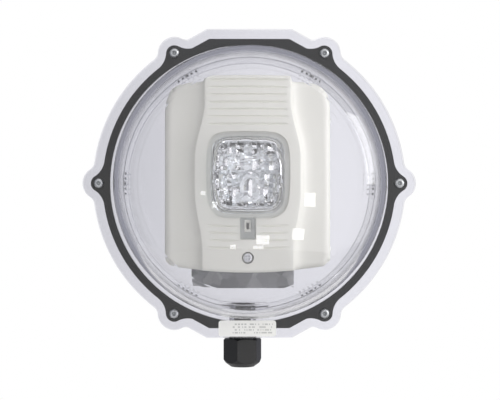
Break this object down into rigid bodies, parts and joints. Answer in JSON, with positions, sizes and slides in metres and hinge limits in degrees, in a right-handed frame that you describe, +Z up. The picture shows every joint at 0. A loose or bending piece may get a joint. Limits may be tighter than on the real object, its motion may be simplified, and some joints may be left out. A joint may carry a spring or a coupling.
{
  "type": "horn strobe in weather and vandal enclosure",
  "caption": "Wall horn strobe with a rectangular head and clear faceted strobe lens, inside a round clear lugged dome enclosure with a gasket, wiring box and cable gland.",
  "frame": {"origin": "centre of the rear housing's back face, on the wall", "axes": "+Z up, the front faces -Y away from the wall, +X to the right as seen from the front"},
  "size_m": [0.2496, 0.138, 0.2556],
  "materials": {
    "clear_polycarbonate": "clear, polished",
    "brass": "turned",
    "black_rubber": "matt, moulded",
    "steel_screws": "passivated",
    "label_film": "printed film",
    "black_nylon": "moulded, fine texture",
    "galvanised_steel": "hot-dip galvanised",
    "earth_green": "dyed zinc",
    "head_white": "moulded, fine texture",
    "inner_ivory": "moulded",
    "black_plastic": "moulded",
    "board_green": "solder mask",
    "clear_lens": "clear, polished",
    "bright_reflector": "vacuum metallised",
    "tube_glass": "clear",
    "tinned_wire": "tinned",
    "capacitor_sleeve": "shrunk sleeve",
    "amber_winding": "varnished",
    "slide_white": "moulded",
    "selector_orange": "moulded"
  },
  "bodies": {
    "enclosure": {"rear_housing": "clear_polycarbonate", "housing_inserts": "brass", "gasket": "black_rubber", "gland_body": "black_nylon", "gland_washer": "black_rubber", "gland_seal": "black_rubber", "wiring_box": "galvanised_steel", "box_screws": "steel_screws", "box_grommet": "black_rubber", "ground_screw": "earth_green", "mounting_plate": "inner_ivory", "plate_screws": "steel_screws", "terminal_block": "black_plastic", "terminal_screws": "steel_screws", "contact_springs": "brass", "head_cover": "head_white", "head_back": "inner_ivory", "assembly_screws": "steel_screws", "head_screw": "steel_screws", "circuit_board": "board_green", "strobe_lens": "clear_lens", "reflector": "bright_reflector", "flash_tube": "tube_glass", "tube_leads": "tinned_wire", "flash_capacitor": "capacitor_sleeve", "trigger_transformer": "amber_winding", "contact_pins": "brass", "sounder_disc": "brass", "sounder_housing": "black_plastic", "candela_switch": "black_plastic", "selector_housing": "black_plastic"},
    "dome_cover": {"dome": "clear_polycarbonate", "dome_screws": "steel_screws", "rating_label": "label_film"},
    "output_slide": {"candela_slide": "slide_white"},
    "tone_dial": {"tone_selector": "selector_orange"},
    "thrust_ring": {"gland_thrust_ring": "black_nylon"},
    "gland_cap": {"gland_nut": "black_nylon"}
  },
  "joints": [
    {"name": "dome_lift", "type": "slide", "parent": "enclosure", "child": "dome_cover", "axis": [0, -1, 0], "range_m": [0, 0.13]},
    {"name": "output_select", "type": "slide", "parent": "enclosure", "child": "output_slide", "axis": [0, 0, -1], "range_m": [0, 0.012]},
    {"name": "tone_select", "type": "hinge", "parent": "enclosure", "child": "tone_dial", "pos_m": [0.0325, 0, -0.03], "axis": [0, 1, 0], "range_deg": [0, 315]},
    {"name": "gland_travel", "type": "slide", "parent": "enclosure", "child": "thrust_ring", "axis": [0, 0, -1], "range_m": [0, 0.0061]},
    {"name": "gland_turn", "type": "hinge", "parent": "thrust_ring", "child": "gland_cap", "pos_m": [-0.005, -0.023, -0.13], "axis": [0, 0, -1], "range_deg": [0, 1440]}
  ],
  "couplings": [
    {"joint": "gland_travel", "follows": "gland_turn", "m_per_rad": 0.00023873}
  ]
}
